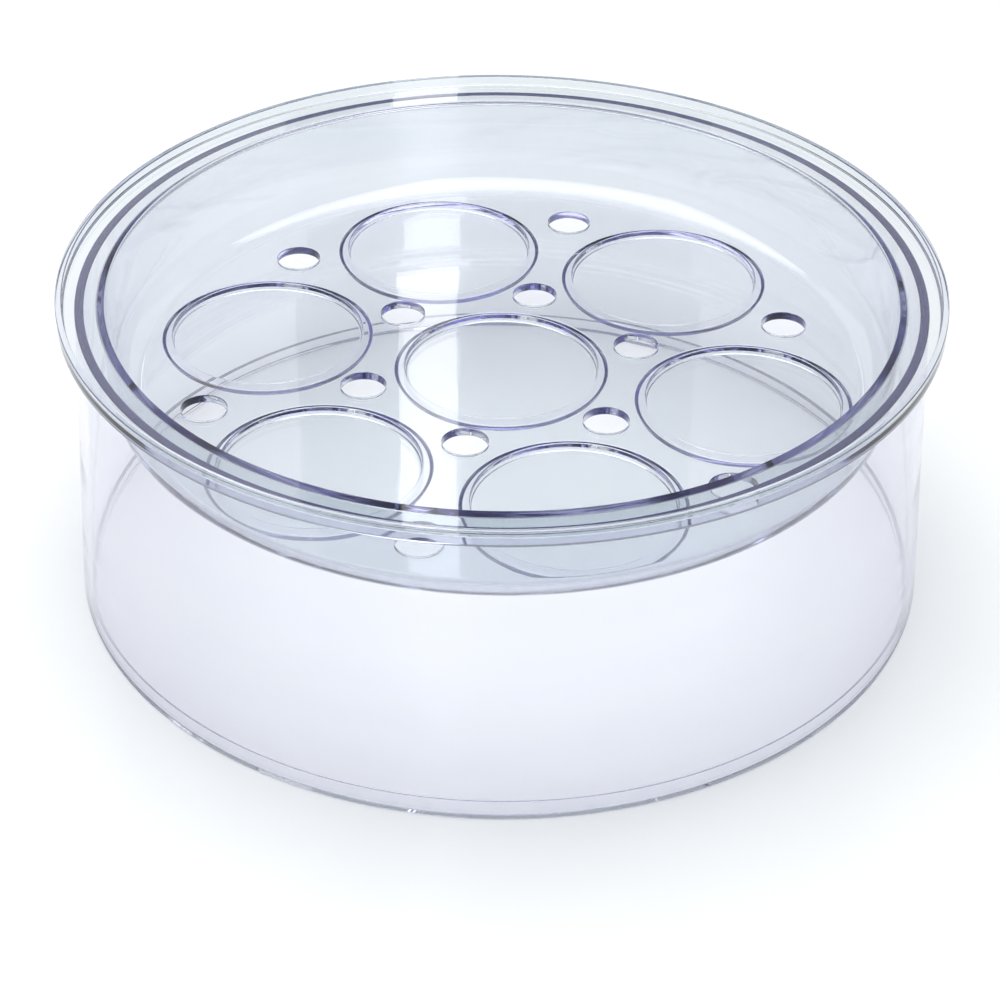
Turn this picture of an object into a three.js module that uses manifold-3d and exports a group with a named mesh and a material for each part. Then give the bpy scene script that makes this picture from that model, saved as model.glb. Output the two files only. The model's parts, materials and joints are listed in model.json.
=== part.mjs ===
// One clear tier of a round food dehydrator: an open drum, and the jar tray that lies on its top edge.
// Millimetres, +Z up. The origin is on the tier's axis, in the plane that the drum stands on.
import * as THREE from 'three';
import { mergeVertices } from 'three/addons/utils/BufferGeometryUtils.js';
import Module from 'manifold-3d';

const wasm = await Module();
wasm.setup();

// ---- Driving dimensions -------------------------------------------------------------------------

const overallHeight = 103;       // from the plane the drum stands on to the top of the tray's lip

// Jar seats: a middle one and a ring of six, all alike, each a shallow step down in the tray's floor.
const seatRadius = 30.7;         // of the step's wall, on the side that the jar stands in
const seatWall = 3;              // thickness of the step's wall
const seatBevel = 0.5;           // how much narrower the step's under side is at its bottom
const seatDepth = 2.2;           // how far the seat's flat bottom lies below the floor
const seatLand = 10.5;           // between the step walls of two neighbouring seats, on the under face
const seatMargin = 0.6;          // between an outer seat's step wall and the tray's corner
const outerSeats = 6;

// Air holes: an inner ring and an outer ring, one hole of each between two neighbouring outer seats.
const holeRadius = 7.05;
const outerHoleInset = 16.6;     // from the edge of the flat floor to the middle of an outer hole

// Tray: a floor plate that bends up into the dish's wall and out into a flange with a standing lip.
const floorThickness = 2.7;
const trayWall = 2.2;
const trayDepth = 31;            // from the flange's upper face down to the floor's upper face
const cornerRadius = 9;          // inside the dish, between floor and wall
const dishDraft = 4;             // degrees that the dish's wall leans outwards
const flangeThickness = 2;
const flangeOverhang = 5.6;      // how far the flange reaches past the drum's outer wall
const lipWidth = 2;
const lipRise = 3;               // lip above the flange's upper face

// Drum: a thin wall that widens downwards to a thicker foot.
const drumWall = 2.8;
const footHeight = 5;
const footWidth = 3.6;
const footInset = 0.3;           // the foot is this much smaller than the lip it stands on in a stack

// Clearances between the two pieces.
const restGap = 0.3;             // between the flange's under face and the drum's top edge
const dishClearance = 4.2;       // between the dish and the drum's inner wall, at the top edge

// Facets.
const tierSegments = 96;
const seatSegments = 48;
const holeSegments = 24;
const cornerSteps = 5;
const cutOverrun = 1;            // how far a cutter passes the face it opens

// ---- Derived sizes ------------------------------------------------------------------------------

const draft = THREE.MathUtils.degToRad(dishDraft);
const seatOuterRadius = seatRadius + seatWall;
const seatPitch = 2 * seatOuterRadius + seatLand;
const floorRadius = seatPitch + seatOuterRadius + seatMargin;

const lipTop = overallHeight;
const flangeTop = lipTop - lipRise;
const flangeBottom = flangeTop - flangeThickness;
const floorTop = flangeTop - trayDepth;
const floorBottom = floorTop - floorThickness;
const cornerCentre = floorTop + cornerRadius;

// Radius of the dish's wall at a height, on the inside (offset 0) or the outside (offset trayWall).
function dishRadius(height, offset) {
  const tangentRadius = floorRadius + (cornerRadius + offset) * Math.cos(draft);
  const tangentHeight = cornerCentre - (cornerRadius + offset) * Math.sin(draft);
  return tangentRadius + (height - tangentHeight) * Math.tan(draft);
}

const drumTop = flangeBottom - restGap;
const drumTopInner = dishRadius(flangeBottom, trayWall) + dishClearance;
const drumTopRadius = drumTopInner + drumWall;
const lipRadius = drumTopRadius + flangeOverhang;
const footRadius = lipRadius - footInset;
const wallLean = (footRadius - drumTopRadius) / drumTop;

const innerHoleCircle = seatPitch / Math.sqrt(3);   // the middle of three neighbouring seats
const outerHoleCircle = floorRadius - outerHoleInset;

// ---- Shapes -------------------------------------------------------------------------------------

// A closed [radius, height] profile turned round the Z axis.
function revolve(profile, segments) {
  const points = profile.map(([radius, height]) => new THREE.Vector2(radius, height));
  const geometry = new THREE.LatheGeometry(points, segments);
  geometry.rotateX(Math.PI / 2);
  return geometry;
}

function toSolid(geometry) {
  const bare = geometry.clone();
  bare.deleteAttribute('normal');
  bare.deleteAttribute('uv');
  const merged = mergeVertices(bare);
  const vertProperties = new Float32Array(merged.attributes.position.array);
  const triVerts = new Uint32Array(merged.index.array);
  return new wasm.Manifold(new wasm.Mesh({ numProp: 3, vertProperties, triVerts }));
}

function toGeometry(solid) {
  const mesh = solid.getMesh();
  const geometry = new THREE.BufferGeometry();
  geometry.setAttribute('position', new THREE.BufferAttribute(mesh.vertProperties, 3));
  geometry.setIndex(new THREE.BufferAttribute(mesh.triVerts, 1));
  geometry.computeVertexNormals();
  return geometry;
}

// Points of the dish's corner, from the floor out to the wall. The two offsets from the inner face
// are 0 for that face itself, or the floor's and the wall's thickness for the outer one.
function cornerArc(floorOffset, wallOffset) {
  const points = [];
  for (let step = 0; step <= cornerSteps; step += 1) {
    const share = step / cornerSteps;
    const angle = share * (Math.PI / 2 - draft);
    const reach = cornerRadius + THREE.MathUtils.lerp(floorOffset, wallOffset, share);
    points.push([floorRadius + reach * Math.sin(angle), cornerCentre - reach * Math.cos(angle)]);
  }
  return points;
}

function drumGeometry() {
  const outerRadius = (height) => footRadius - wallLean * height;
  const profile = [
    [footRadius - footWidth, 0],
    [footRadius, 0],
    [drumTopRadius, drumTop],
    [drumTopInner, drumTop],
    [outerRadius(footHeight) - drumWall, footHeight],
    [outerRadius(footHeight) - footWidth, footHeight],
    [footRadius - footWidth, 0],
  ];
  return revolve(profile, tierSegments);
}

// The tray before its seats and holes: floor, corner, wall, flange and lip.
function dishSolid() {
  const profile = [
    [0, floorBottom],
    ...cornerArc(floorThickness, trayWall),
    [dishRadius(flangeBottom, trayWall), flangeBottom],
    [lipRadius, flangeBottom],
    [lipRadius, lipTop],
    [lipRadius - lipWidth, lipTop],
    [lipRadius - lipWidth, flangeTop],
    [dishRadius(flangeTop, 0), flangeTop],
    ...cornerArc(0, 0).reverse(),
    [0, floorTop],
  ];
  return toSolid(revolve(profile, tierSegments));
}

// A round block between two heights.
function roundBlock(radius, bottom, top, segments) {
  return toSolid(revolve([[0, bottom], [radius, bottom], [radius, top], [0, top]], segments));
}

// The plate round and under one seat, below the floor: narrower at its bottom.
function seatShell() {
  const profile = [
    [0, floorBottom - seatDepth],
    [seatOuterRadius - seatBevel, floorBottom - seatDepth],
    [seatOuterRadius, floorBottom],
    [seatOuterRadius, floorBottom + floorThickness / 2],
    [0, floorBottom + floorThickness / 2],
  ];
  return toSolid(revolve(profile, seatSegments));
}

// The space that a jar's foot takes in one seat.
function seatSpace() {
  return roundBlock(seatRadius, floorTop - seatDepth, floorTop + cutOverrun, seatSegments);
}

function holeSpace() {
  return roundBlock(holeRadius, floorBottom - cutOverrun, floorTop + cutOverrun, holeSegments);
}

// Points on a circle round the axis, one for each outer seat, turned by a share of the step.
function ringOf(radius, turn) {
  const points = [];
  for (let index = 0; index < outerSeats; index += 1) {
    const angle = ((index + turn) / outerSeats) * 2 * Math.PI;
    points.push([radius * Math.cos(angle), radius * Math.sin(angle), 0]);
  }
  return points;
}

function trayGeometry() {
  const seats = [[0, 0, 0], ...ringOf(seatPitch, 0)];
  const holes = [...ringOf(innerHoleCircle, 0.5), ...ringOf(outerHoleCircle, 0.5)];
  const shell = seatShell();
  const seat = seatSpace();
  const hole = holeSpace();
  let tray = dishSolid();
  for (const place of seats) {
    tray = tray.add(shell.translate(place));
  }
  for (const place of seats) {
    tray = tray.subtract(seat.translate(place));
  }
  for (const place of holes) {
    tray = tray.subtract(hole.translate(place));
  }
  return toGeometry(tray);
}

// ---- Materials ----------------------------------------------------------------------------------

// Clear, faintly lavender plastic, which looks darker where it is seen edge on.
function clearPlastic(colour) {
  return new THREE.MeshStandardMaterial({
    color: colour,
    roughness: 0.06,
    metalness: 0,
    transparent: true,
    opacity: 0.35,
  });
}

// ---- The tier -----------------------------------------------------------------------------------

function piece(name, geometry, material) {
  const mesh = new THREE.Mesh(geometry, material);
  mesh.name = name;
  return mesh;
}

const group = new THREE.Group();
group.add(piece('drum', drumGeometry(), clearPlastic(0xdcdfee)));
group.add(piece('jar_tray', trayGeometry(), clearPlastic(0xd2dae3)));

export default group;
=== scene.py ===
"""A clear stacking tier of a round food dehydrator: an open drum and the jar tray that lies on it.

Every length is in metres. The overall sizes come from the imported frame's boxes of the CAD nodes, the
jar seats' places from the record's mounts, and the air holes' places from its openings.
"""

import json
import math

import bmesh
import bpy
from mathutils import Euler, Matrix, Vector
from mathutils.geometry import delaunay_2d_cdt


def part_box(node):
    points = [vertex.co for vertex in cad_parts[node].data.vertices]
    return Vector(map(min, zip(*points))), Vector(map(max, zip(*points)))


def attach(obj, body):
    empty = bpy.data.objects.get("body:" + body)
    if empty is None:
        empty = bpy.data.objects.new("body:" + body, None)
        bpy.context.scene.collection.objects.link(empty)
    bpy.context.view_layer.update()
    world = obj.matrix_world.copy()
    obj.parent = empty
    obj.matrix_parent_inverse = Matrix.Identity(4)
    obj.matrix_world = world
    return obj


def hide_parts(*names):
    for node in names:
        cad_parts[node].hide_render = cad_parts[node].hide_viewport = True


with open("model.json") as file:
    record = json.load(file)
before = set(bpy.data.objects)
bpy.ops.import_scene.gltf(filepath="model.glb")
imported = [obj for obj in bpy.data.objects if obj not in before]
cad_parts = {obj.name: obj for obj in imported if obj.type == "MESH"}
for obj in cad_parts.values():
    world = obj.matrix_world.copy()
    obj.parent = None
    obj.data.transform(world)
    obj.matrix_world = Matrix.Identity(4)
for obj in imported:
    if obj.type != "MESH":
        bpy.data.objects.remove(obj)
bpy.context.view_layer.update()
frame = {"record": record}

# ---- Sizes read from the frame -----------------------------------------------------------------

record = frame["record"]
mounts = {mount["name"]: mount for mount in record["mounts"]}
openings = {opening["name"]: opening["box_m"] for opening in record["physics"]["openings"]}
_, drum_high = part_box("drum")
tray_low, tray_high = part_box("jar_tray")

LIP_RADIUS = tray_high.x
LIP_TOP = tray_high.z
FOOT_RADIUS = drum_high.x
DRUM_TOP = drum_high.z
SEAT_UNDERSIDE = tray_low.z
SEAT_FLOOR = mounts["jar_seat_0"]["pos_m"][2]

# ---- Sizes of the mouldings --------------------------------------------------------------------

MM = 0.001
FLANGE_THICKNESS = 2 * MM
LIP_WIDTH = 2 * MM
LIP_RISE = 3 * MM
FLANGE_OVERHANG = 5.6 * MM   # flange beyond the drum's wall
DRUM_WALL = 2.8 * MM
FOOT_WIDTH = 3.6 * MM
FOOT_HEIGHT = 5 * MM
DISH_CLEARANCE = 4.2 * MM    # between the dish and the drum's wall, at the drum's top
DISH_DRAFT = math.radians(4)
DISH_WALL = 2.2 * MM
CORNER_RADIUS = 9 * MM       # inside the dish, between floor and wall
SEAT_RADIUS = 30.7 * MM      # of the wall of a seat's step, on the jar's side
SEAT_WALL = 3 * MM
SEAT_DEPTH = 2.2 * MM
HOLE_RADIUS = 7.05 * MM

EDGE = 0.35 * MM             # radius of the mouldings' outer edges
SEAT_EDGE = 0.5 * MM         # radius where a seat's step leaves the floor, on both faces
SEAT_FILLET = 0.9 * MM       # radius where the step turns into the seat's bottom, on both faces
SEAT_TAPER = 0.25 * MM       # how much narrower the jar's side of a seat's step is at its bottom
SEAT_BEVEL = 0.5 * MM        # how much narrower the under side of a seat's step is at its bottom
FLANGE_FILLET = 0.8 * MM     # radius where the dish's wall turns into the flange

BIG_SEGMENTS = 288
SEAT_SEGMENTS = 120
HOLE_SEGMENTS = 56
ARC_STEP = math.radians(15)  # largest turn between two points of a rounded corner
WELD_DISTANCE = 1e-7         # points closer together than this are one point
KEEP_INSIDE = 1              # delaunay_2d_cdt leaves out the triangles outside the outline

FLOOR_THICKNESS = SEAT_FLOOR - SEAT_UNDERSIDE
FLOOR_TOP = SEAT_FLOOR + SEAT_DEPTH
FLOOR_BOTTOM = FLOOR_TOP - FLOOR_THICKNESS
FLANGE_TOP = LIP_TOP - LIP_RISE
FLANGE_BOTTOM = FLANGE_TOP - FLANGE_THICKNESS
DRUM_TOP_RADIUS = LIP_RADIUS - FLANGE_OVERHANG


def centre_of(box):
    low, high = Vector(box[0]), Vector(box[1])
    return (low + high) / 2


seat_places = [Vector(m["pos_m"][:2]) for name, m in mounts.items() if name.startswith("jar_seat")]
hole_places = [centre_of(box).xy for name, box in openings.items() if name.startswith("air_hole")]


# ---- Profiles ----------------------------------------------------------------------------------

def rounded(corners):
    """Profile points [radius, height, normal out, normal up] of an open outline with rounded corners.

    A corner is (radius, height, rounding). The material lies on the left of the outline.
    """
    points = []
    for index, (r, z, rounding) in enumerate(corners):
        here = Vector((r, z))
        before = Vector(corners[index - 1][:2]) if index else None
        after = Vector(corners[index + 1][:2]) if index + 1 < len(corners) else None
        incoming = (here - before).normalized() if before else (after - here).normalized()
        outgoing = (after - here).normalized() if after else incoming
        if rounding == 0:
            points.append([r, z, incoming.y, -incoming.x])
            continue
        turn = math.atan2(incoming.cross(outgoing), incoming.dot(outgoing))
        reach = rounding * math.tan(abs(turn) / 2)
        start = here - incoming * reach
        side = Vector((-incoming.y, incoming.x)) * math.copysign(1, turn)
        middle = start + side * rounding
        steps = max(2, math.ceil(abs(turn) / ARC_STEP))
        for step in range(steps + 1):
            turned = Matrix.Rotation(turn * step / steps, 2)
            place = middle - (turned @ side) * rounding
            heading = turned @ incoming
            points.append([place.x, place.y, heading.y, -heading.x])
    return points


class Shell:
    """Vertices, their normals and faces of one closed moulding."""

    def __init__(self):
        self.vertices = []
        self.normals = []
        self.faces = []

    def ring(self, centre, point, segments):
        """Adds one circle of a turned profile and returns its vertex numbers."""
        r, z, out, up = point
        first = len(self.vertices)
        if r < WELD_DISTANCE:
            self.vertices.append((centre.x, centre.y, z))
            self.normals.append((0, 0, up))
            return [first]
        for step in range(segments):
            angle = 2 * math.pi * step / segments
            c, s = math.cos(angle), math.sin(angle)
            self.vertices.append((centre.x + r * c, centre.y + r * s, z))
            self.normals.append((out * c, out * s, up))
        return list(range(first, first + segments))

    def join(self, one, two):
        """Faces between two rings, or between a ring and a point on its axis."""
        if len(one) == 1 or len(two) == 1:
            tip, rim = (one, two) if len(one) == 1 else (two, one)
            for a, b in zip(rim, rim[1:] + rim[:1]):
                self.faces.append((tip[0], a, b))
            return
        for a, b, c, d in zip(one, one[1:] + one[:1], two[1:] + two[:1], two):
            self.faces.append((a, b, c, d))

    def turned(self, centre, profile, segments, closed=False):
        """A profile turned round a vertical line. It returns the first and the last ring."""
        rings = [self.ring(centre, point, segments) for point in profile]
        for one, two in zip(rings, rings[1:]):
            self.join(one, two)
        if closed:
            self.join(rings[-1], rings[0])
        return rings[0], rings[-1]

    def flat(self, outline, cutouts):
        """The flat face between an outline and the round cutouts in it."""
        numbers, owners, edges = [], [], []
        for owner, loop in enumerate([outline] + cutouts):
            first = len(numbers)
            edges += [(first + i, first + (i + 1) % len(loop)) for i in range(len(loop))]
            numbers += loop
            owners += [owner] * len(loop)
        places = [Vector(self.vertices[number][:2]) for number in numbers]
        _, _, triangles, origins, _, _ = delaunay_2d_cdt(
            places, edges, [], KEEP_INSIDE, WELD_DISTANCE, True
        )
        for triangle in triangles:
            corners = [origins[corner][0] for corner in triangle]
            around = {owners[corner] for corner in corners}
            # A triangle with all its corners on one cutout would close a part of that cutout.
            in_cutout = len(around) == 1 and 0 not in around
            if not in_cutout:
                self.faces.append(tuple(numbers[corner] for corner in corners))

    def build(self, name):
        """The moulding as a smooth object with its own normals."""
        mesh = bpy.data.meshes.new(name)
        mesh.from_pydata(self.vertices, [], self.faces)
        faces = bmesh.new()
        faces.from_mesh(mesh)
        bmesh.ops.recalc_face_normals(faces, faces=faces.faces)
        faces.to_mesh(mesh)
        faces.free()
        for polygon in mesh.polygons:
            polygon.use_smooth = True
        mesh.normals_split_custom_set_from_vertices(self.normals)
        piece = bpy.data.objects.new(name, mesh)
        bpy.context.scene.collection.objects.link(piece)
        return piece


AXIS = Vector((0, 0))


# ---- The drum ----------------------------------------------------------------------------------

def make_drum():
    """A thin wall that widens downwards to a thicker foot, turned from the middle of the foot's face."""
    lean = (FOOT_RADIUS - DRUM_TOP_RADIUS) / DRUM_TOP
    inner_foot = FOOT_RADIUS - FOOT_WIDTH
    wall_over_foot = FOOT_RADIUS - lean * FOOT_HEIGHT - DRUM_WALL
    ledge = FOOT_RADIUS - lean * FOOT_HEIGHT - FOOT_WIDTH
    corners = [
        (inner_foot + FOOT_WIDTH / 2, 0, 0),
        (FOOT_RADIUS, 0, EDGE),
        (DRUM_TOP_RADIUS, DRUM_TOP, EDGE),
        (DRUM_TOP_RADIUS - DRUM_WALL, DRUM_TOP, EDGE),
        (wall_over_foot, FOOT_HEIGHT, EDGE),
        (ledge, FOOT_HEIGHT, EDGE),
        (inner_foot, 0, EDGE),
    ]
    shell = Shell()
    shell.turned(AXIS, rounded(corners + corners[:1])[:-1], BIG_SEGMENTS, closed=True)
    return shell.build("clear_drum")


# ---- The jar tray ------------------------------------------------------------------------------

def dish_profile():
    """From the floor's under face round the corner, wall, flange and lip back to its upper face."""
    wall_top_outer = DRUM_TOP_RADIUS - DRUM_WALL - DISH_CLEARANCE
    slope = math.tan(DISH_DRAFT)
    wall_thickness = DISH_WALL / math.cos(DISH_DRAFT)
    outer_foot = wall_top_outer - slope * (FLANGE_BOTTOM - FLOOR_BOTTOM)
    inner_top = wall_top_outer + slope * FLANGE_THICKNESS - wall_thickness
    inner_foot = inner_top - slope * (FLANGE_TOP - FLOOR_TOP)
    half_turn = math.tan((math.pi / 2 - DISH_DRAFT) / 2)
    floor_edge = inner_foot - CORNER_RADIUS * half_turn
    outer_corner = (outer_foot - floor_edge) / half_turn
    profile = rounded([
        (floor_edge, FLOOR_BOTTOM, 0),
        (outer_foot, FLOOR_BOTTOM, outer_corner),
        (wall_top_outer, FLANGE_BOTTOM, FLANGE_FILLET),
        (LIP_RADIUS, FLANGE_BOTTOM, EDGE),
        (LIP_RADIUS, LIP_TOP, EDGE),
        (LIP_RADIUS - LIP_WIDTH, LIP_TOP, EDGE),
        (LIP_RADIUS - LIP_WIDTH, FLANGE_TOP, FLANGE_FILLET),
        (inner_top, FLANGE_TOP, FLANGE_FILLET),
        (inner_foot, FLOOR_TOP, CORNER_RADIUS),
        (floor_edge, FLOOR_TOP, 0),
    ])
    return profile[1:-1]


def seat_profiles():
    """The upper and the under face of one seat, each between the floor and the seat's axis."""
    outer = SEAT_RADIUS + SEAT_WALL
    upper = rounded([
        (SEAT_RADIUS + 2 * SEAT_EDGE, FLOOR_TOP, 0),
        (SEAT_RADIUS, FLOOR_TOP, SEAT_EDGE),
        (SEAT_RADIUS - SEAT_TAPER, SEAT_FLOOR, SEAT_FILLET),
        (0, SEAT_FLOOR, 0),
    ])
    under = rounded([
        (0, SEAT_UNDERSIDE, 0),
        (outer - SEAT_BEVEL, SEAT_UNDERSIDE, SEAT_FILLET),
        (outer, FLOOR_BOTTOM, SEAT_EDGE),
        (outer + 2 * SEAT_EDGE, FLOOR_BOTTOM, 0),
    ])
    return upper[1:], under[:-1]


def hole_profile():
    """The wall of an air hole, from the floor's upper face down to its under face."""
    corners = [
        (HOLE_RADIUS + 2 * EDGE, FLOOR_TOP, 0),
        (HOLE_RADIUS, FLOOR_TOP, EDGE),
        (HOLE_RADIUS, FLOOR_BOTTOM, EDGE),
        (HOLE_RADIUS + 2 * EDGE, FLOOR_BOTTOM, 0),
    ]
    return rounded(corners)[1:-1]


def make_tray():
    """The dish with its seats and air holes: the floor's two flat faces are cut out round them."""
    shell = Shell()
    under_rim, upper_rim = shell.turned(AXIS, dish_profile(), BIG_SEGMENTS)
    seat_upper, seat_under = seat_profiles()
    upper_cuts, under_cuts = [], []
    for place in seat_places:
        upper_cuts.append(shell.turned(place, seat_upper, SEAT_SEGMENTS)[0])
        under_cuts.append(shell.turned(place, seat_under, SEAT_SEGMENTS)[1])
    for place in hole_places:
        upper, under = shell.turned(place, hole_profile(), HOLE_SEGMENTS)
        upper_cuts.append(upper)
        under_cuts.append(under)
    shell.flat(upper_rim, upper_cuts)
    shell.flat(under_rim, under_cuts)
    return shell.build("clear_jar_tray")


# ---- Looks: plastic and studio light -----------------------------------------------------------

PLASTIC_IOR = 1.57
BODY_COLOUR = (0.66, 0.65, 0.82)      # what the plastic's body lets through
BODY_DENSITY = 55
LIT_THROUGH = (0.662, 0.668, 0.666)   # share of a lamp's light that passes each face
LIT_UNDER_FOOT = (0.20, 0.20, 0.34)   # the same, at the foot's under face

DRUM_TINTS = ((0.975, 0.98, 0.985), (0.96, 0.965, 0.98))
TRAY_TINTS = ((0.885, 0.92, 0.925), (0.85, 0.89, 0.90))
DRUM_WAVINESS = 0.05
TRAY_WAVINESS = 0.2
WAVE_HEIGHT = 1 * MM
SMOOTHEST = 0.0                       # lowest and highest roughness of the polish
ROUGHEST = 0.03

# Noises: stretch along x, y and z, scale, detail. A stretch over 1 along z makes level streaks.
FLOW_NOISE = ((1, 1, 7), 14, 3)
POLISH_NOISE = ((1, 1, 1), 45, 4)
WAVE_NOISE = ((1, 1, 6), 9, 2)
NOISE_LOW = 0.35                      # most of a noise's values lie between these two
NOISE_HIGH = 0.65

TABLE_COLOUR = (0.93, 0.93, 0.935)
TABLE_ROUGHNESS = 0.12
TABLE_IOR = 1.4
TABLE_REACH = 6
TABLE_DROP = 0.2 * MM                 # the table lies this far below the foot

ROOM_COLOUR = (0.37, 0.40, 0.405)
LAMP_POWER = 39
LAMP_SIZE = 2.2
LAMP_PLACE = (-0.2, 0.1, 1.8)         # right of, beyond and above the tier, from the camera
PANEL_DISTANCE = 1.5
PANEL_LOW = 0.55
PANEL_HIGH = 1.7
PANELS = [                            # name, left edge, right edge, strength
    ("panel_left", -1.3, -0.205, 0.9),
    ("panel_strip", -0.103, -0.044, 2.2),
    ("panel_right", 0.195, 1.3, 0.7),
]

# The camera looks down on the tier. Its azimuth turns it to the right of straight in front.
CAMERA_AZIMUTH = math.radians(13.83)
CAMERA_ELEVATION = math.radians(33.46)
CAMERA_PITCH = math.radians(35.34)
CAMERA_ROLL = math.radians(0.588)
CAMERA_DISTANCE = 0.8378
CAMERA_LENS = 93.7
CAMERA_SENSOR = 36
CAMERA_NEAREST = 0.01
CAMERA_AIM = Vector((0, 0, 0.05))


# ---- Materials ---------------------------------------------------------------------------------

def node(tree, kind):
    return tree.nodes.new(kind)


def link(tree, source, output, target, entry):
    tree.links.new(source.outputs[output], target.inputs[entry])


def noise(tree, spread, scale, detail):
    """Soft noise in object space, stretched by the three shares in spread."""
    place = node(tree, "ShaderNodeTexCoord")
    stretch = node(tree, "ShaderNodeMapping")
    stretch.inputs["Scale"].default_value = spread
    texture = node(tree, "ShaderNodeTexNoise")
    texture.inputs["Scale"].default_value = scale
    texture.inputs["Detail"].default_value = detail
    link(tree, place, "Object", stretch, "Vector")
    link(tree, stretch, "Vector", texture, "Vector")
    return texture


def ranged(tree, texture, low, high):
    """The middle of a noise's range, spread over low to high."""
    spread = node(tree, "ShaderNodeMapRange")
    spread.inputs["From Min"].default_value = NOISE_LOW
    spread.inputs["From Max"].default_value = NOISE_HIGH
    spread.inputs["To Min"].default_value = low
    spread.inputs["To Max"].default_value = high
    link(tree, texture, "Fac", spread, "Value")
    return spread


def blended(tree, texture, one, two):
    """A colour between two, by a noise."""
    ramp = node(tree, "ShaderNodeValToRGB")
    ramp.color_ramp.elements[0].position = NOISE_LOW
    ramp.color_ramp.elements[0].color = (*one, 1)
    ramp.color_ramp.elements[1].position = NOISE_HIGH
    ramp.color_ramp.elements[1].color = (*two, 1)
    link(tree, texture, "Fac", ramp, "Fac")
    return ramp


def shaded_foot(tree):
    """How much of a lamp's light passes a face: little at the very bottom, most of it above."""
    place = node(tree, "ShaderNodeTexCoord")
    parts = node(tree, "ShaderNodeSeparateXYZ")
    height = node(tree, "ShaderNodeMapRange")
    height.inputs["From Min"].default_value = EDGE / 2
    height.inputs["From Max"].default_value = 2 * EDGE
    ramp = node(tree, "ShaderNodeValToRGB")
    ramp.color_ramp.elements[0].color = (*LIT_UNDER_FOOT, 1)
    ramp.color_ramp.elements[1].color = (*LIT_THROUGH, 1)
    link(tree, place, "Object", parts, "Vector")
    link(tree, parts, "Z", height, "Value")
    link(tree, height, "Result", ramp, "Fac")
    return ramp


def clear_plastic(name, tints, waviness):
    """Clear moulded plastic: lavender in depth, with faint flow streaks and a slightly uneven polish."""
    material = bpy.data.materials.new(name)
    material.use_nodes = True
    tree = material.node_tree
    tree.nodes.clear()
    output = node(tree, "ShaderNodeOutputMaterial")

    surface = node(tree, "ShaderNodeBsdfPrincipled")
    surface.inputs["Transmission Weight"].default_value = 1
    surface.inputs["IOR"].default_value = PLASTIC_IOR
    flow = noise(tree, *FLOW_NOISE)
    link(tree, blended(tree, flow, *tints), "Color", surface, "Base Color")
    polish = noise(tree, *POLISH_NOISE)
    link(tree, ranged(tree, polish, SMOOTHEST, ROUGHEST), "Result", surface, "Roughness")

    bump = node(tree, "ShaderNodeBump")
    bump.inputs["Strength"].default_value = waviness
    bump.inputs["Distance"].default_value = WAVE_HEIGHT
    waves = noise(tree, *WAVE_NOISE)
    link(tree, waves, "Fac", bump, "Height")
    link(tree, bump, "Normal", surface, "Normal")

    # Lamps shine through the clear walls, but hardly under the foot, which lies on the table.
    let_through = node(tree, "ShaderNodeBsdfTransparent")
    link(tree, shaded_foot(tree), "Color", let_through, "Color")
    path = node(tree, "ShaderNodeLightPath")
    mix = node(tree, "ShaderNodeMixShader")
    link(tree, path, "Is Shadow Ray", mix, "Fac")
    tree.links.new(surface.outputs["BSDF"], mix.inputs[1])
    tree.links.new(let_through.outputs["BSDF"], mix.inputs[2])
    link(tree, mix, "Shader", output, "Surface")

    body = node(tree, "ShaderNodeVolumeAbsorption")
    body.inputs["Color"].default_value = (*BODY_COLOUR, 1)
    body.inputs["Density"].default_value = BODY_DENSITY
    link(tree, body, "Volume", output, "Volume")
    return material


def floor_plastic():
    """The studio table: near white, with a soft gloss."""
    material = bpy.data.materials.new("studio_floor")
    material.use_nodes = True
    surface = material.node_tree.nodes["Principled BSDF"]
    surface.inputs["Base Color"].default_value = (*TABLE_COLOUR, 1)
    surface.inputs["Roughness"].default_value = TABLE_ROUGHNESS
    surface.inputs["IOR"].default_value = TABLE_IOR
    return material


def glowing(name, strength):
    """Even white light from a panel."""
    material = bpy.data.materials.new(name)
    material.use_nodes = True
    tree = material.node_tree
    tree.nodes.clear()
    glow = node(tree, "ShaderNodeEmission")
    glow.inputs["Color"].default_value = (1, 1, 1, 1)
    glow.inputs["Strength"].default_value = strength
    link(tree, glow, "Emission", node(tree, "ShaderNodeOutputMaterial"), "Surface")
    return material


# ---- Stage -------------------------------------------------------------------------------------

def flat_card(name, corners, material):
    """A four-cornered sheet that belongs to the studio and not to the part."""
    mesh = bpy.data.meshes.new(name)
    mesh.from_pydata(corners, [], [(0, 1, 2, 3)])
    mesh.materials.append(material)
    card = bpy.data.objects.new(name, mesh)
    bpy.context.scene.collection.objects.link(card)


def make_floor():
    turns = ((-1, -1), (1, -1), (1, 1), (-1, 1))
    corners = [(x * TABLE_REACH, y * TABLE_REACH, -TABLE_DROP) for x, y in turns]
    flat_card("studio_floor", corners, floor_plastic())


def seen_from_camera(right, away, up):
    """A place given to the right of, beyond and above the tier, as the camera looks at it."""
    turned = Matrix.Rotation(CAMERA_AZIMUTH, 2) @ Vector((right, away))
    return turned.x, turned.y, up


def make_panels():
    """Upright soft panels behind the tier, which its level faces mirror towards the camera."""
    for name, left, right, strength in PANELS:
        corners = [
            seen_from_camera(left, PANEL_DISTANCE, PANEL_LOW),
            seen_from_camera(right, PANEL_DISTANCE, PANEL_LOW),
            seen_from_camera(right, PANEL_DISTANCE, PANEL_HIGH),
            seen_from_camera(left, PANEL_DISTANCE, PANEL_HIGH),
        ]
        flat_card(name, corners, glowing(name, strength))


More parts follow.
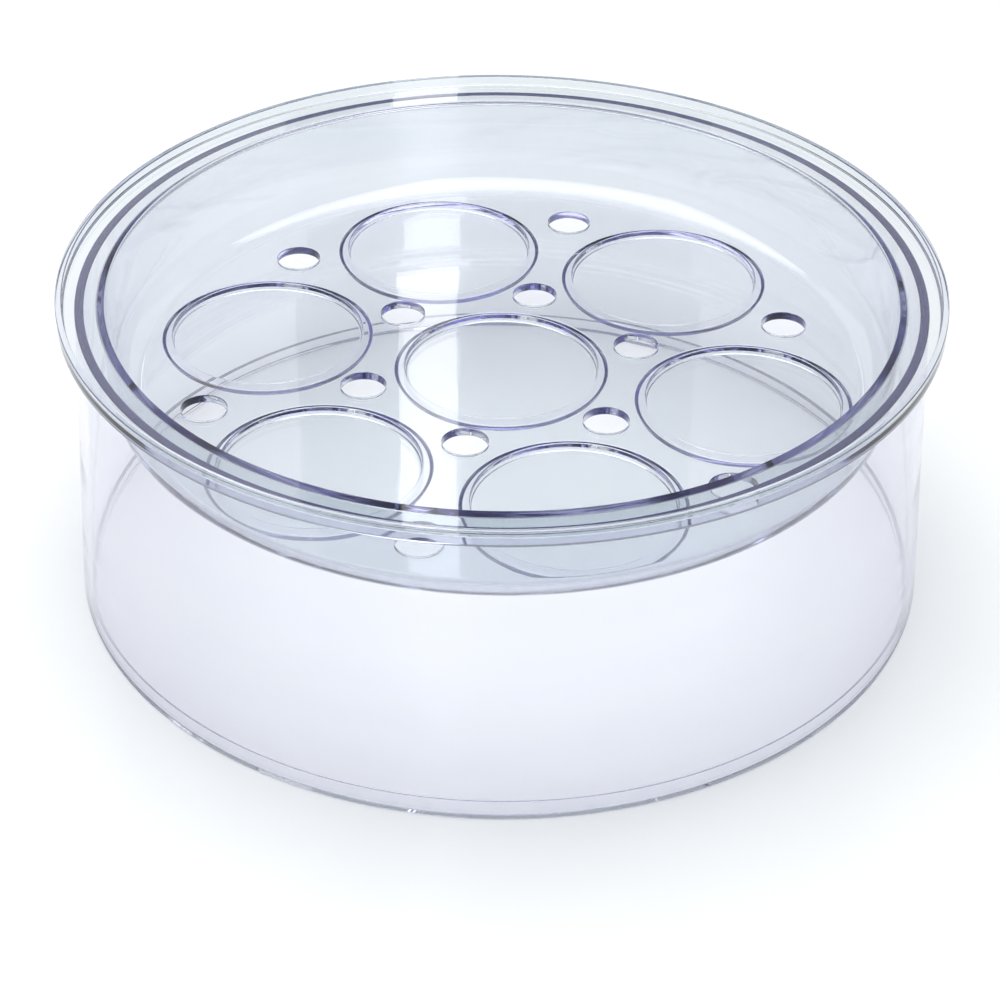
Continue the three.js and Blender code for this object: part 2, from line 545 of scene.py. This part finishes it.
def make_lamp():
    """One large soft box overhead."""
    data = bpy.data.lights.new("soft_box", "AREA")
    data.shape = "SQUARE"
    data.size = LAMP_SIZE
    data.energy = LAMP_POWER
    lamp = bpy.data.objects.new("soft_box", data)
    lamp.location = seen_from_camera(*LAMP_PLACE)
    bpy.context.scene.collection.objects.link(lamp)


def make_world():
    """An even grey room, which the plastic mirrors and shows through."""
    world = bpy.data.worlds.new("studio")
    bpy.context.scene.world = world
    world.use_nodes = True
    background = world.node_tree.nodes["Background"]
    background.inputs["Color"].default_value = (*ROOM_COLOUR, 1)
    background.inputs["Strength"].default_value = 1


def make_camera():
    data = bpy.data.cameras.new("camera")
    data.lens = CAMERA_LENS
    data.sensor_width = CAMERA_SENSOR
    data.clip_start = CAMERA_NEAREST
    camera = bpy.data.objects.new("camera", data)
    bpy.context.scene.collection.objects.link(camera)
    away = Vector((
        math.sin(CAMERA_AZIMUTH) * math.cos(CAMERA_ELEVATION),
        -math.cos(CAMERA_AZIMUTH) * math.cos(CAMERA_ELEVATION),
        math.sin(CAMERA_ELEVATION),
    ))
    camera.location = CAMERA_AIM + away * CAMERA_DISTANCE
    level = Euler((math.pi / 2 - CAMERA_PITCH, 0, CAMERA_AZIMUTH)).to_matrix()
    camera.rotation_euler = (level @ Matrix.Rotation(CAMERA_ROLL, 3, "Z")).to_euler()
    bpy.context.scene.camera = camera


def set_light_paths():
    """Light is led up and down inside the tall clear walls, so a path needs many bounces."""
    cycles = bpy.context.scene.cycles
    cycles.max_bounces = 40
    cycles.glossy_bounces = 30
    cycles.transmission_bounces = 20
    cycles.diffuse_bounces = 2
    cycles.transparent_max_bounces = 32
    cycles.use_denoising = True
    bpy.context.scene.view_settings.view_transform = "Standard"


# ---- The scene ---------------------------------------------------------------------------------

drum = make_drum()
drum.data.materials.append(clear_plastic("drum_plastic", DRUM_TINTS, DRUM_WAVINESS))
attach(drum, "drum")
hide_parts("drum")

tray = make_tray()
tray.data.materials.append(clear_plastic("tray_plastic", TRAY_TINTS, TRAY_WAVINESS))
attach(tray, "tray")
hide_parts("jar_tray")

make_floor()
make_world()
make_lamp()
make_panels()
make_camera()
set_light_paths()
